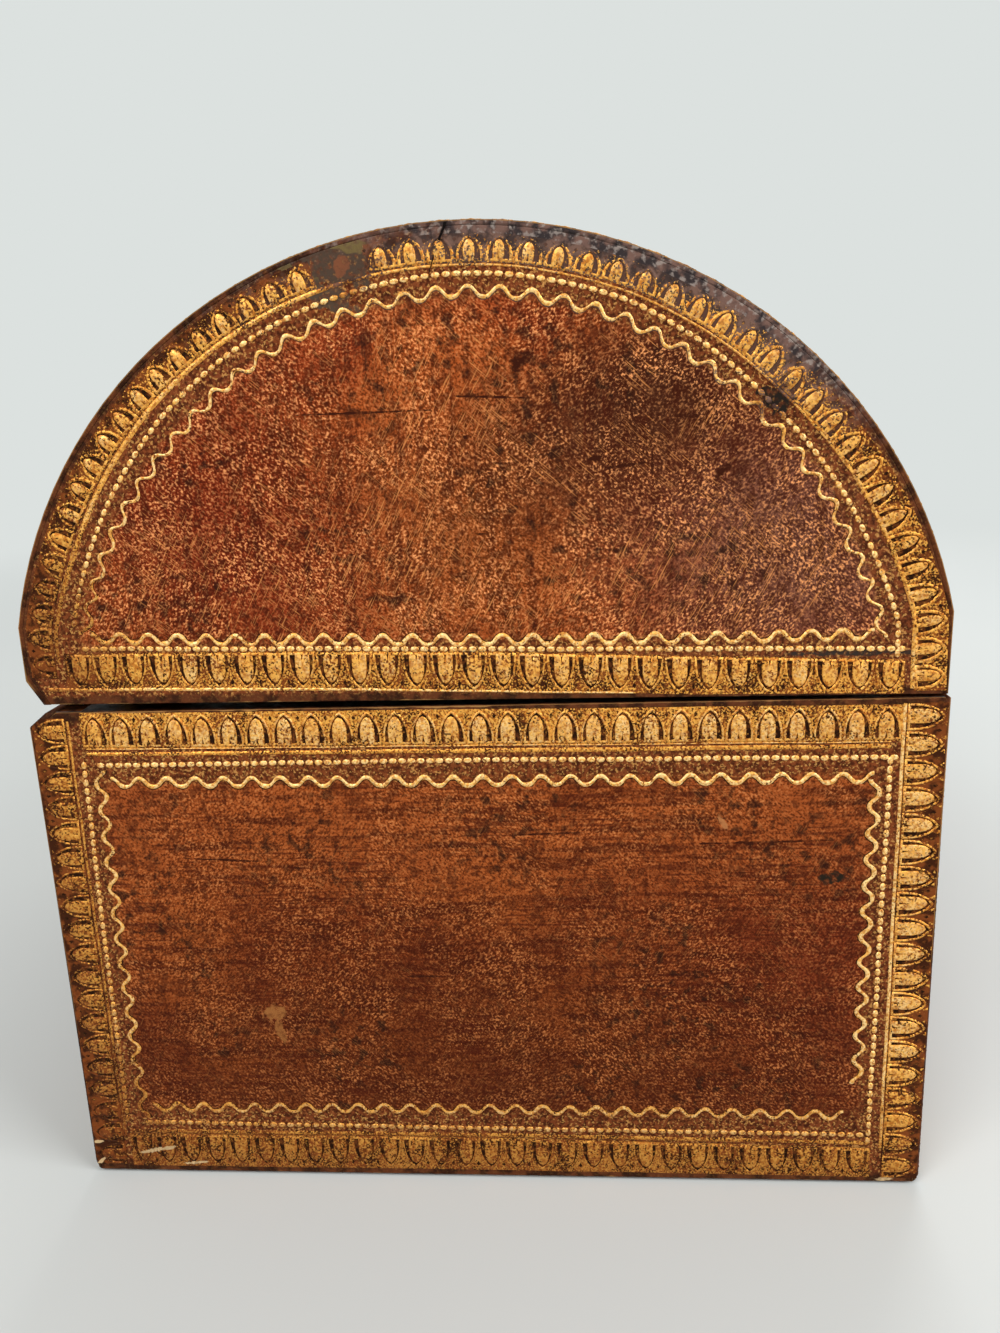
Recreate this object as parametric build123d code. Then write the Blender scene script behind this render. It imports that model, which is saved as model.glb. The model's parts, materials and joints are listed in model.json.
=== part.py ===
from build123d import *
import os
from math import asin, cos, degrees, radians, sin, sqrt

# A domed wooden casket covered in leather, hinged along its back.
# X runs from the back (-) to the front (+), Y along the length and Z up.
# The origin is the centre of the footprint.

# Overall sizes, in millimetres and degrees
LENGTH = 220.0  # left end to right end
DEPTH = 150.0  # back to front of the base
BASE_HEIGHT = 89.0
LID_HEIGHT = 72.4  # from the lid's rim to the crown of its dome
LID_SIDE = 13.1  # straight side of the lid, up to where the dome springs
LID_INSET = 0.5  # the lid stands in from the base on each side
RIM_GAP = 1.4  # between the two rims, at the hinge
LID_SETTLE = 0.34  # degrees that the closed lid has sunk towards the front

# Wooden carcass
BOARD = 8.0  # walls of the base and ends of the lid
BOTTOM_BOARD = 6.0
LAP = 4.0  # depth of the rebates that the boards lap into
LID_WALL = 7.5  # rails and staves at their joints
STAVE_COUNT = 7

# Covering and lining
SKIN = 1.0  # leather
TURN_UNDER = 12.0  # leather turned under the base
LINING = 0.8  # card faced with paper
LINING_REVEAL = 1.0  # bare strip between the lining and a rim

# Bevelled back edges, which meet as the stop of the open lid
BACK_BEVEL = 3.3  # width, from the base's back face
LID_BEVEL_ANGLE = 58.0  # above the horizontal
BASE_BEVEL_ANGLE = 38.0  # below the horizontal

# Butt hinges
HINGE_LENGTH = 32.0
HINGE_FROM_END = 28.0
KNUCKLE_COUNT = 5
KNUCKLE_RADIUS = 1.6
KNUCKLE_GAP = 0.2  # between neighbouring knuckles
KNUCKLE_CLEARANCE = 0.3  # around the knuckles, in the rims
PIN_RADIUS = 0.75
PIN_FIT = 0.01  # radial, in the base's knuckles
PIN_RUNNING = 0.05  # radial, in the lid's knuckles
LEAF = 1.0
LEAF_MARGIN = 0.3  # from the leaf's edge to the inner face of the wall

# Fasteners
SCREW_SPACING = 18.0
SCREW_HEAD_RADIUS = 1.1
SCREW_RADIUS = 0.55
SCREW_LENGTH = 7.0
SCREW_FIT = 0.05  # radial, in the leaf
BRAD_RADIUS = 0.6
BRAD_LENGTH = 16.0
CORNER_BRAD_COUNT = 3  # up each corner of the base
LONG_SIDE_BRAD_COUNT = 4  # along the bottom board's front and back
SHORT_SIDE_BRAD_COUNT = 2  # along the bottom board's ends

# Where the layers lie, from outside to inside
base_half = DEPTH / 2
carcass_half = base_half - SKIN
inner_half = carcass_half - BOARD
lap_half = inner_half + LAP
end_face = LENGTH / 2
carcass_end = end_face - SKIN
inner_end = carcass_end - BOARD
lap_end = inner_end + LAP
floor_top = SKIN + BOTTOM_BOARD
base_wall_top = BASE_HEIGHT - SKIN

lid_rim = BASE_HEIGHT + RIM_GAP
lid_floor = lid_rim + SKIN
lid_half = base_half - LID_INSET
dome_rise = LID_HEIGHT - LID_SIDE
dome_radius = (lid_half**2 + dome_rise**2) / (2 * dome_rise)
dome_centre = lid_rim + LID_HEIGHT - dome_radius
wood_half = lid_half - SKIN
wood_radius = dome_radius - SKIN
ledge_radius = wood_radius - LID_WALL
spring_angle = degrees(asin(wood_half / wood_radius))
stave_angle = 2 * spring_angle / STAVE_COUNT
rail_inner = ledge_radius * sin(radians(spring_angle))

# The hinge's axis is where the planes of the two bevels cross, so that they close flat on each other.
bevel_start = -base_half + BACK_BEVEL
lid_slope = (cos(radians(LID_BEVEL_ANGLE)), sin(radians(LID_BEVEL_ANGLE)))
base_slope = (cos(radians(BASE_BEVEL_ANGLE)), sin(radians(BASE_BEVEL_ANGLE)))
axis_inset = RIM_GAP / (lid_slope[1] / lid_slope[0] + base_slope[1] / base_slope[0])
axis_x = bevel_start + axis_inset
axis_z = BASE_HEIGHT + axis_inset * base_slope[1] / base_slope[0]
hinge_axis = Axis((axis_x, 0, axis_z), (0, 1, 0))
leaf_start = axis_x + KNUCKLE_RADIUS + KNUCKLE_GAP
leaf_edge = -max(inner_half, rail_inner) - LEAF_MARGIN
screw_x = (leaf_start + leaf_edge) / 2
hinge_centre = end_face - HINGE_FROM_END - HINGE_LENGTH / 2


def block(x, y, z):
    """A rectangular solid between two values on each axis."""
    size = [high - low for low, high in (x, y, z)]
    middle = [(high + low) / 2 for low, high in (x, y, z)]
    return Pos(*middle) * Box(*size)


def bar(section, start, end):
    """A section drawn in X and Z, run along the length."""
    return extrude(Pos(0, start, 0) * (Plane.XZ * section), amount=end - start, dir=(0, 1, 0))


def centred_bar(section, half_length):
    return bar(section, -half_length, half_length)


def rectangle(x, z):
    return make_face(Polyline((x[0], z[0]), (x[1], z[0]), (x[1], z[1]), (x[0], z[1]), close=True))


def rod(radius, length, start, way):
    return Solid.make_cylinder(radius, length, Plane(origin=start, z_dir=way))


def at_both_ends(make):
    """The left end's piece and its mirror image at the right end."""
    piece = make()
    return piece, mirror(piece, about=Plane.XZ)


def outside_of(point, along, outward):
    """The half plane beyond a line, as wide as the casket."""
    far = DEPTH
    start, way, out = Vector(*point), Vector(*along), Vector(*outward)
    near_edge = [start - way * far, start + way * far]
    far_edge = [corner + out * far for corner in reversed(near_edge)]
    return make_face(Polyline(*near_edge, *far_edge, close=True))


def lid_bevel(inset):
    outward = (-lid_slope[1], -lid_slope[0])
    point = (bevel_start - inset * outward[0], lid_rim - inset * outward[1])
    return outside_of(point, (-lid_slope[0], lid_slope[1]), outward)


def base_bevel(inset):
    outward = (-base_slope[1], base_slope[0])
    point = (bevel_start - inset * outward[0], BASE_HEIGHT - inset * outward[1])
    return outside_of(point, (-base_slope[0], -base_slope[1]), outward)


def dome_point(radius, angle):
    """A point on the dome, by its angle from the crown towards the front."""
    return (radius * sin(radians(angle)), dome_centre + radius * cos(radians(angle)))


def lid_profile(inset, floor):
    half, radius = lid_half - inset, dome_radius - inset
    spring = dome_centre + sqrt(radius**2 - half**2)
    sides = Polyline((-half, spring), (-half, floor), (half, floor), (half, spring))
    dome = ThreePointArc((half, spring), (0, dome_centre + radius), (-half, spring))
    return make_face([*sides.edges(), dome]) - lid_bevel(inset)


def base_profile(inset):
    half = base_half - inset
    return rectangle((-half, half), (0, BASE_HEIGHT)) - base_bevel(inset)


def ledge_profile(floor):
    """The lid's inside, faceted by the flat backs of its staves."""
    facets = [dome_point(ledge_radius, spring_angle - i * stave_angle) for i in range(STAVE_COUNT + 1)]
    return make_face(Polyline((rail_inner, floor), *facets, (-rail_inner, floor), close=True))


# Hinges: each has a leaf on either rim, and its knuckles share one pin.
def knuckle_span(start, number):
    pitch = HINGE_LENGTH / KNUCKLE_COUNT
    return start + number * pitch + KNUCKLE_GAP / 2, start + (number + 1) * pitch - KNUCKLE_GAP / 2


def hinge_screw(centre, face, into, fit=0.0):
    """A countersunk screw, or with a fit the hole for it in a leaf."""
    plane = Plane(origin=(screw_x, centre, face), z_dir=(0, 0, into))
    sink = SCREW_HEAD_RADIUS - SCREW_RADIUS
    head = Solid.make_cone(SCREW_HEAD_RADIUS + fit, SCREW_RADIUS + fit, sink, plane)
    return head + Solid.make_cylinder(SCREW_RADIUS + fit, SCREW_LENGTH, plane)


def screw_places(middle):
    return middle - SCREW_SPACING / 2, middle + SCREW_SPACING / 2


def hinge_leaf(middle, numbers, face, into, bore):
    """A leaf let into the rim at height face, with its own knuckles."""
    start = middle - HINGE_LENGTH / 2
    thickness = sorted((face, face + into * LEAF))
    leaf = block((leaf_start, leaf_edge), (start, start + HINGE_LENGTH), thickness)
    for number in numbers:
        span = knuckle_span(start, number)
        leaf += rod(KNUCKLE_RADIUS, span[1] - span[0], (axis_x, span[0], axis_z), (0, 1, 0))
        leaf += block((axis_x, leaf_start), span, thickness)
    leaf -= rod(bore, HINGE_LENGTH, (axis_x, start, axis_z), (0, 1, 0))
    for place in screw_places(middle):
        leaf -= hinge_screw(place, face, into, SCREW_FIT)
    return leaf


def hinge_pin(middle):
    return rod(PIN_RADIUS, HINGE_LENGTH, (axis_x, middle - HINGE_LENGTH / 2, axis_z), (0, 1, 0))


def hinge_gain(face, into):
    """What is cut from a rim for both hinges: the seats of the leaves and room for the knuckles."""
    thickness = sorted((face, face + into * LEAF))
    seats = []
    for middle in (-hinge_centre, hinge_centre):
        start = middle - HINGE_LENGTH / 2
        seats.append(block((axis_x, leaf_edge), (start, start + HINGE_LENGTH), thickness))
        room = HINGE_LENGTH + 2 * KNUCKLE_CLEARANCE
        radius = KNUCKLE_RADIUS + KNUCKLE_CLEARANCE
        seats.append(rod(radius, room, (axis_x, start - KNUCKLE_CLEARANCE, axis_z), (0, 1, 0)))
    return seats


def hinge_screws(face, into):
    places = screw_places(-hinge_centre) + screw_places(hinge_centre)
    return [hinge_screw(place, face, into) for place in places]


# Brads
def evenly(count, low, high):
    step = (high - low) / count
    return [low + (i + 0.5) * step for i in range(count)]


def corner_brads():
    """Driven through the front and back boards into the ends of the end boards."""
    across = inner_end + BOARD / 2
    heights = evenly(CORNER_BRAD_COUNT, floor_top, base_wall_top)
    return [
        rod(BRAD_RADIUS, BRAD_LENGTH, (side * carcass_half, end * across, height), (-side, 0, 0))
        for side in (-1, 1)
        for end in (-1, 1)
        for height in heights
    ]


def bottom_brads():
    """Driven up through the bottom board into the walls that it laps."""
    side_x, end_y = inner_half + LAP / 2, inner_end + LAP / 2
    along = [(s * side_x, y) for s in (-1, 1) for y in evenly(LONG_SIDE_BRAD_COUNT, -inner_end, inner_end)]
    across = [(x, s * end_y) for s in (-1, 1) for x in evenly(SHORT_SIDE_BRAD_COUNT, -inner_half, inner_half)]
    return [rod(BRAD_RADIUS, BRAD_LENGTH, (x, y, SKIN), (0, 0, 1)) for x, y in along + across]


def lid_brads():
    """Driven through the staves into the ledges of the lid's end boards, towards the dome's centre."""
    brads = []
    for angle in evenly(STAVE_COUNT, -spring_angle, spring_angle):
        x, z = dome_point(wood_radius, angle)
        inward = (-sin(radians(angle)), 0, -cos(radians(angle)))
        for end in (-1, 1):
            brads.append(rod(BRAD_RADIUS, BRAD_LENGTH, (x, end * (inner_end + LAP / 2), z), inward))
    return brads


# Base: boards lapped at the corners and round the bottom
def base_side_board(section):
    """The front or back board, with a rebate at each end and one along its foot."""
    board = centred_bar(section, carcass_end)
    lap = (-lap_half, lap_half)
    for end in ((-carcass_end, -inner_end), (inner_end, carcass_end)):
        board -= block(lap, end, (SKIN, base_wall_top))
    board -= block(lap, (-carcass_end, carcass_end), (SKIN, floor_top))
    return board - corner_brads() - bottom_brads()


def base_front_board():
    return base_side_board(rectangle((inner_half, carcass_half), (SKIN, base_wall_top)))


def base_back_board():
    section = rectangle((-carcass_half, -inner_half), (SKIN, base_wall_top)) - base_bevel(SKIN)
    board = base_side_board(section) - hinge_gain(BASE_HEIGHT, -1)
    return board - hinge_screws(BASE_HEIGHT, -1)


def base_end_board():
    board = block((-lap_half, lap_half), (-carcass_end, -inner_end), (SKIN, base_wall_top))
    board -= block((-lap_half, lap_half), (-lap_end, -inner_end), (SKIN, floor_top))
    return board - corner_brads() - bottom_brads()


def base_bottom_board():
    return block((-lap_half, lap_half), (-lap_end, lap_end), (SKIN, floor_top)) - bottom_brads()


# Base: leather, turned in over the rim and under the foot, and the sheet that covers its raw edges below
def base_side_leather(side):
    half = rectangle(sorted((0, side * base_half)), (0, BASE_HEIGHT))
    face = (base_profile(0) - base_profile(SKIN)) & half
    lapped = base_profile(SKIN) & half
    rim = lapped & rectangle((-base_half, base_half), (base_wall_top, BASE_HEIGHT))
    rim -= rectangle((-inner_half, inner_half), (base_wall_top, BASE_HEIGHT))
    foot = lapped & rectangle((-base_half, base_half), (0, SKIN))
    foot -= rectangle((-carcass_half + TURN_UNDER, carcass_half - TURN_UNDER), (0, SKIN))
    return centred_bar(face, end_face) + centred_bar(rim, carcass_end) + centred_bar(foot, carcass_end)


def base_back_leather():
    return base_side_leather(-1) - hinge_gain(BASE_HEIGHT, -1)


def base_end_leather():
    skin = bar(base_profile(SKIN), -end_face, -carcass_end)
    skin += block((-inner_half, inner_half), (-carcass_end, -inner_end), (base_wall_top, BASE_HEIGHT))
    foot = carcass_half - TURN_UNDER
    return skin + block((-foot, foot), (-carcass_end, -carcass_end + TURN_UNDER), (0, SKIN))


def base_underside_sheet():
    half, end = carcass_half - TURN_UNDER, carcass_end - TURN_UNDER
    return block((-half, half), (-end, end), (0, SKIN))


# Base: paper lining on card, the floor first and the walls standing on it
lining_foot = floor_top + LINING
base_lining_top = BASE_HEIGHT - LINING_REVEAL


def base_floor_lining():
    return block((-inner_half, inner_half), (-inner_end, inner_end), (floor_top, lining_foot))


def base_side_lining(side):
    x = sorted((side * inner_half, side * (inner_half - LINING)))
    return block(x, (-inner_end, inner_end), (lining_foot, base_lining_top))


def base_end_lining():
    half = inner_half - LINING
    return block((-half, half), (-inner_end, -inner_end + LINING), (lining_foot, base_lining_top))


# Lid: end boards with a ledge each, two rails and the staves of the dome between them
def lid_end_board():
    board = bar(lid_profile(SKIN, lid_floor), -carcass_end, -lap_end)
    board += bar(ledge_profile(lid_floor), -lap_end, -inner_end)
    return board - lid_brads()


def lid_rail(side):
    outer, inner = dome_point(wood_radius, spring_angle), dome_point(ledge_radius, spring_angle)
    corners = [(wood_half, lid_floor), outer, inner, (rail_inner, lid_floor)]
    section = make_face(Polyline(*[(side * x, z) for x, z in corners], close=True))
    return centred_bar(section - lid_bevel(SKIN), lap_end)


def lid_back_rail():
    return lid_rail(-1) - hinge_gain(lid_rim, 1) - hinge_screws(lid_rim, 1)


def lid_stave(number):
    """Flat inside and planed round outside. Number 1 is next to the back rail."""
    start = -spring_angle + (number - 1) * stave_angle
    middle, end = start + stave_angle / 2, start + stave_angle
    outside = [dome_point(wood_radius, angle) for angle in (end, middle, start)]
    inside = [dome_point(ledge_radius, angle) for angle in (start, end)]
    flats = Polyline(outside[2], *inside, outside[0])
    return centred_bar(make_face([*flats.edges(), ThreePointArc(*outside)]), lap_end) - lid_brads()


# Lid: leather over the dome and on the ends, turned in over the rim
def lid_dome_leather():
    cover = lid_profile(0, lid_rim) - lid_profile(SKIN, lid_rim)
    rim = lid_profile(SKIN, lid_rim) & rectangle((-lid_half, lid_half), (lid_rim, lid_floor))
    rim -= rectangle((-rail_inner, rail_inner), (lid_rim, lid_floor))
    return centred_bar(cover, end_face) + centred_bar(rim, carcass_end) - hinge_gain(lid_rim, 1)


def lid_end_leather():
    skin = bar(lid_profile(SKIN, lid_rim), -end_face, -carcass_end)
    return skin + block((-rail_inner, rail_inner), (-carcass_end, -inner_end), (lid_rim, lid_floor))


# Lid: lining
lid_lining_foot = lid_rim + LINING_REVEAL


def lined_profile():
    inside = offset(ledge_profile(lid_rim - LINING), amount=-LINING, kind=Kind.INTERSECTION)
    return inside & rectangle((-lid_half, lid_half), (lid_lining_foot, lid_rim + LID_HEIGHT))


def lid_dome_lining():
    return centred_bar(ledge_profile(lid_lining_foot) - lined_profile(), inner_end)


def lid_end_lining():
    return bar(lined_profile(), -inner_end, -inner_end + LINING)


# Assembly
base_left_board, base_right_board = at_both_ends(base_end_board)
base_left_skin, base_right_skin = at_both_ends(base_end_leather)
base_left_lining, base_right_lining = at_both_ends(base_end_lining)
base = {
    "base_bottom_board": base_bottom_board(),
    "base_front_board": base_front_board(),
    "base_back_board": base_back_board(),
    "base_left_end_board": base_left_board,
    "base_right_end_board": base_right_board,
    "base_front_leather": base_side_leather(1),
    "base_back_leather": base_back_leather(),
    "base_left_end_leather": base_left_skin,
    "base_right_end_leather": base_right_skin,
    "base_underside_sheet": base_underside_sheet(),
    "base_floor_lining": base_floor_lining(),
    "base_front_lining": base_side_lining(1),
    "base_back_lining": base_side_lining(-1),
    "base_left_end_lining": base_left_lining,
    "base_right_end_lining": base_right_lining,
    "base_corner_brads": Compound(corner_brads()),
    "base_bottom_brads": Compound(bottom_brads()),
    "hinge_base_screws": Compound(hinge_screws(BASE_HEIGHT, -1)),
}
lid_left_board, lid_right_board = at_both_ends(lid_end_board)
lid_left_skin, lid_right_skin = at_both_ends(lid_end_leather)
lid_left_lining, lid_right_lining = at_both_ends(lid_end_lining)
lid = {
    "lid_left_end_board": lid_left_board,
    "lid_right_end_board": lid_right_board,
    "lid_front_rail": lid_rail(1),
    "lid_back_rail": lid_back_rail(),
    "lid_dome_leather": lid_dome_leather(),
    "lid_left_end_leather": lid_left_skin,
    "lid_right_end_leather": lid_right_skin,
    "lid_dome_lining": lid_dome_lining(),
    "lid_left_end_lining": lid_left_lining,
    "lid_right_end_lining": lid_right_lining,
    "lid_brads": Compound(lid_brads()),
    "hinge_lid_screws": Compound(hinge_screws(lid_rim, 1)),
}
for number in range(1, STAVE_COUNT + 1):
    lid[f"lid_stave_{number}"] = lid_stave(number)
base_knuckles = range(0, KNUCKLE_COUNT, 2)
lid_knuckles = range(1, KNUCKLE_COUNT, 2)
for side, middle in (("left", -hinge_centre), ("right", hinge_centre)):
    base[f"{side}_hinge_base_leaf"] = hinge_leaf(middle, base_knuckles, BASE_HEIGHT, -1, PIN_RADIUS + PIN_FIT)
    base[f"{side}_hinge_pin"] = hinge_pin(middle)
    lid[f"{side}_hinge_lid_leaf"] = hinge_leaf(middle, lid_knuckles, lid_rim, 1, PIN_RADIUS + PIN_RUNNING)

os.makedirs("parts", exist_ok=True)
for name, piece in base.items():
    export_step(piece, f"parts/{name}.step")
for name, piece in lid.items():
    export_step(piece.rotate(hinge_axis, LID_SETTLE), f"parts/{name}.step")

print("hinge axis", round(axis_x, 4), round(axis_z, 4))
print("dome radius", round(dome_radius, 3), "inner half depth", round(inner_half, 3), round(rail_inner, 3))
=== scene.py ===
import json
from math import asin, copysign, cos, pi, radians, sin, tan

import bmesh
import bpy
from mathutils import Matrix, Vector, noise

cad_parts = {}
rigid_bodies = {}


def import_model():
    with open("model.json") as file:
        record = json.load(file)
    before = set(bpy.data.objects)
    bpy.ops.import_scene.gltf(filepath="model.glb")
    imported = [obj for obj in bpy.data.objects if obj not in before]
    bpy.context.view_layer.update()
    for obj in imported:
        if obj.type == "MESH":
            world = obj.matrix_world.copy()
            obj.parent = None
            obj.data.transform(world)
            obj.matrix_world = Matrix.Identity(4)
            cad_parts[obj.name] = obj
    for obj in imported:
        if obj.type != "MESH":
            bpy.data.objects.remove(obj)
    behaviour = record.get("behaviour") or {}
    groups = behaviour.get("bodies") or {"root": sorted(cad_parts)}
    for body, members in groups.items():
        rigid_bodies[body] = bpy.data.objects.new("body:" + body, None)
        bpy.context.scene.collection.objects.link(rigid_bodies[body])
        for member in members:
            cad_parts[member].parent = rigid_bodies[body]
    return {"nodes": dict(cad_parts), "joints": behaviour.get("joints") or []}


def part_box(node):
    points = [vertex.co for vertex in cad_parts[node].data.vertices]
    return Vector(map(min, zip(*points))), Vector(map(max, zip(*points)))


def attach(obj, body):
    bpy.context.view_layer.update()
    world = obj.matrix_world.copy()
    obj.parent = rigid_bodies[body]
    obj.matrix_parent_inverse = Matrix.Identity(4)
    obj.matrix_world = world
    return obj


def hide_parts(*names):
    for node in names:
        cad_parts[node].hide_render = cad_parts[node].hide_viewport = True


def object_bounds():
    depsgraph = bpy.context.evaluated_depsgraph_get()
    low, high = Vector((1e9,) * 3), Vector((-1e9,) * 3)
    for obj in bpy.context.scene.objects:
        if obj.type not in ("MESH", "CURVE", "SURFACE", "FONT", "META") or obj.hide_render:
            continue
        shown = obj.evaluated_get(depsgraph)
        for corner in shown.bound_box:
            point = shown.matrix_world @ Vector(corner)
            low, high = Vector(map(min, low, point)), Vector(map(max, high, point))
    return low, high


for leftover in list(bpy.data.objects):
    bpy.data.objects.remove(leftover)
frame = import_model()
cad_low, cad_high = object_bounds()


# Carcass: pine boards, lapped and glued, with half-round ends and coopered staves in the lid.
# The wood shows only where a cover or a lining is taken off, so it is left bare and a little dusty.
MM = 0.001  # sizes are in millimetres where nothing else is said


def paint(red, green, blue):
    """A colour as it looks on a screen, from 0 to 255, in the linear light that shaders use."""
    levels = [level / 255 for level in (red, green, blue)]
    return (*[x / 12.92 if x <= 0.04045 else ((x + 0.055) / 1.055) ** 2.4 for x in levels], 1.0)


class Finish:
    """A material built from patterns that lie on the piece's own coordinates, in millimetres."""

    def __init__(self, name, roughness=0.5):
        self.material = bpy.data.materials.new(name)
        self.material.use_nodes = True
        self.tree = self.material.node_tree
        self.shader = self.tree.nodes["Principled BSDF"]
        self.feed(self.shader.inputs["Roughness"], roughness)
        coordinates = self.node("TexCoord").outputs["Object"]
        self.place = self.node("Mapping", {"Vector": coordinates, "Scale": (1 / MM,) * 3}).outputs[0]

    def feed(self, socket, value):
        if isinstance(value, bpy.types.NodeSocket):
            self.tree.links.new(value, socket)
        else:
            socket.default_value = value

    def node(self, kind, inputs=None, **settings):
        made = self.tree.nodes.new("ShaderNode" + kind)
        for name, value in settings.items():
            setattr(made, name, value)
        for socket, value in (inputs or {}).items():
            self.feed(made.inputs[socket], value)
        return made

    def stretched(self, size, turn=(0, 0, 0)):
        """Coordinates in which a pattern of size 1 measures this much along each axis."""
        spread = tuple(1 / length for length in size)
        turned = self.node("Mapping", {"Vector": self.place, "Rotation": turn}).outputs[0]
        return self.node("Mapping", {"Vector": turned, "Scale": spread}).outputs[0]

    def clouds(self, size, detail=3.0, turn=(0, 0, 0)):
        size = size if isinstance(size, tuple) else (size,) * 3
        inputs = {"Vector": self.stretched(size, turn), "Scale": 1.0, "Detail": detail}
        return self.node("TexNoise", inputs).outputs[0]

    def cells(self, size, feature="F1"):
        inputs = {"Vector": self.stretched((size,) * 3), "Scale": 1.0}
        return self.node("TexVoronoi", inputs, feature=feature).outputs["Distance"]

    def attribute(self, name):
        return self.node("Attribute", attribute_name=name).outputs["Fac"]

    def math(self, operation, first, second):
        return self.node("Math", {0: first, 1: second}, operation=operation).outputs[0]

    def times(self, first, second):
        return self.math("MULTIPLY", first, second)

    def ease(self, value, low, high, start=0.0, end=1.0):
        """Goes smoothly from start to end while value goes from low to high."""
        inputs = {"Value": value, "From Min": low, "From Max": high, "To Min": start, "To Max": end}
        return self.node("MapRange", inputs, interpolation_type="SMOOTHSTEP").outputs[0]

    def mix(self, share, first, second):
        return self.node("Mix", {0: share, 6: first, 7: second}, data_type="RGBA").outputs[2]

    def spot(self, centre, size, turn=0.0, ragged=0.35, soft=0.35):
        """1 in a ragged patch of this size round a point, turned in the plane of an end, 0 away from it."""
        away = self.node("VectorMath", {0: self.place, 1: centre}, operation="SUBTRACT").outputs[0]
        turned = self.node("VectorRotate", {"Vector": away, "Angle": turn}, rotation_type="Y_AXIS").outputs[0]
        shrunk = self.node("VectorMath", {0: turned, 1: size}, operation="DIVIDE").outputs[0]
        reach = self.node("VectorMath", {0: shrunk}, operation="LENGTH").outputs["Value"]
        torn = self.times(self.math("SUBTRACT", self.clouds(1.3, 4.0), 0.5), 4 * ragged)
        return self.ease(self.math("ADD", reach, torn), 1.0 + soft / 2, 1.0 - soft / 2)

    def bump(self, height, depth):
        inputs = {"Height": height, "Distance": depth * MM, "Strength": 1.0}
        earlier = self.shader.inputs["Normal"].links
        if earlier:
            inputs["Normal"] = earlier[0].from_socket
        self.feed(self.shader.inputs["Normal"], self.node("Bump", inputs).outputs[0])

    def colour(self, value):
        self.feed(self.shader.inputs["Base Color"], value)


def coat(finish, *nodes):
    """Gives CAD pieces that keep their shape their finish."""
    for node in nodes:
        piece = frame["nodes"][node]
        piece.data.materials.clear()
        piece.data.materials.append(finish.material)


def pine(name, grain):
    """Pine, with its rings drawn out along the grain."""
    wood = Finish(name, 0.62)
    rings = wood.clouds(tuple(60.0 if axis == grain else 2.4 for axis in "xyz"), 2.0)
    fibre = wood.clouds(tuple(14.0 if axis == grain else 0.3 for axis in "xyz"), 3.0)
    pale, dark = paint(203, 164, 112), paint(158, 112, 66)
    ringed = wood.mix(wood.ease(rings, 0.42, 0.6), pale, dark)
    dusty = wood.mix(wood.ease(wood.clouds(22.0), 0.5, 0.8), ringed, paint(120, 96, 70))
    wood.colour(wood.mix(wood.ease(fibre, 0.55, 0.75, 0.0, 0.4), dusty, paint(120, 80, 46)))
    wood.bump(fibre, 0.06)
    return wood


long_pine = pine("pine_along", "y")
short_pine = pine("pine_across", "x")
STAVES = [node for node in frame["nodes"] if node.startswith("lid_stave")]
coat(long_pine, "base_bottom_board", "base_front_board", "base_back_board")
coat(long_pine, "lid_front_rail", "lid_back_rail", *STAVES)
coat(short_pine, "base_left_end_board", "base_right_end_board", "lid_left_end_board", "lid_right_end_board")


# Brads: headless steel wire nails, driven flush through the laps and the ends of the staves.
# They are dull grey with rust where the wood has held damp.
steel = Finish("rusty_steel", 0.5)
rust = steel.ease(steel.clouds(1.4, 4.0), 0.48, 0.62)
steel.colour(steel.mix(rust, paint(112, 110, 106), paint(104, 58, 32)))
steel.feed(steel.shader.inputs["Metallic"], steel.math("SUBTRACT", 1.0, rust))
steel.bump(steel.clouds(0.3), 0.03)
coat(steel, "base_corner_brads", "base_bottom_brads", "lid_brads")


# Leather on the base: calf, pared thin, dyed red-brown and polished, in four pieces. The front and
# back run past the ends, whose edges are rubbed down inside them, and all four turn in over the
# rim and under the foot. The borders are pressed below the field by the heated rolls.
BASE_HALF = cad_high.x / MM
BASE_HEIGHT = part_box("base_front_leather")[1].z / MM
END = cad_high.y / MM
SUNK = 0.25  # the tooled ground below the outer face
WAVE_LINE = 12.0  # how far in from the edge the wave lies, in the measure that the finish reads
PLAIN_WAVE = 11.9  # the same in millimetres, where the border is even
FIELD_EDGE, FIELD_RISE = 13.6, 1.5  # where the field starts to swell, and how soon, in the finish's measure
SWELL, SWELL_VARIES, SWELL_SIZE = 0.055, 0.045, 11.0  # how deep the field lies, how unevenly and how broadly
GRID = 2.0  # steps in which the field can swell and sink
EDGE_ROUND = 0.5  # the outer edges are rubbed to this round
WELD = 0.002  # points of the CAD's loose triangles that lie closer than this are one
FLAT_WITHIN = radians(0.3)  # triangles that turn less than this are one face
FLUSH, SQUARE = 0.03, 0.9995  # a face this near the outer side, and this square to it, is on the show side
ORDER = Vector((1.0, 1e3, 1e6))  # a direction in which hardly any two points are level
TURN = 0.3  # leather deeper than this below the show side has turned over an edge
TURNED = -2.0  # what the finish reads there
KNOCKED, KNOCK_REACH = 2.6, 7.0  # the round on a knocked corner, and where it ends


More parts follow.
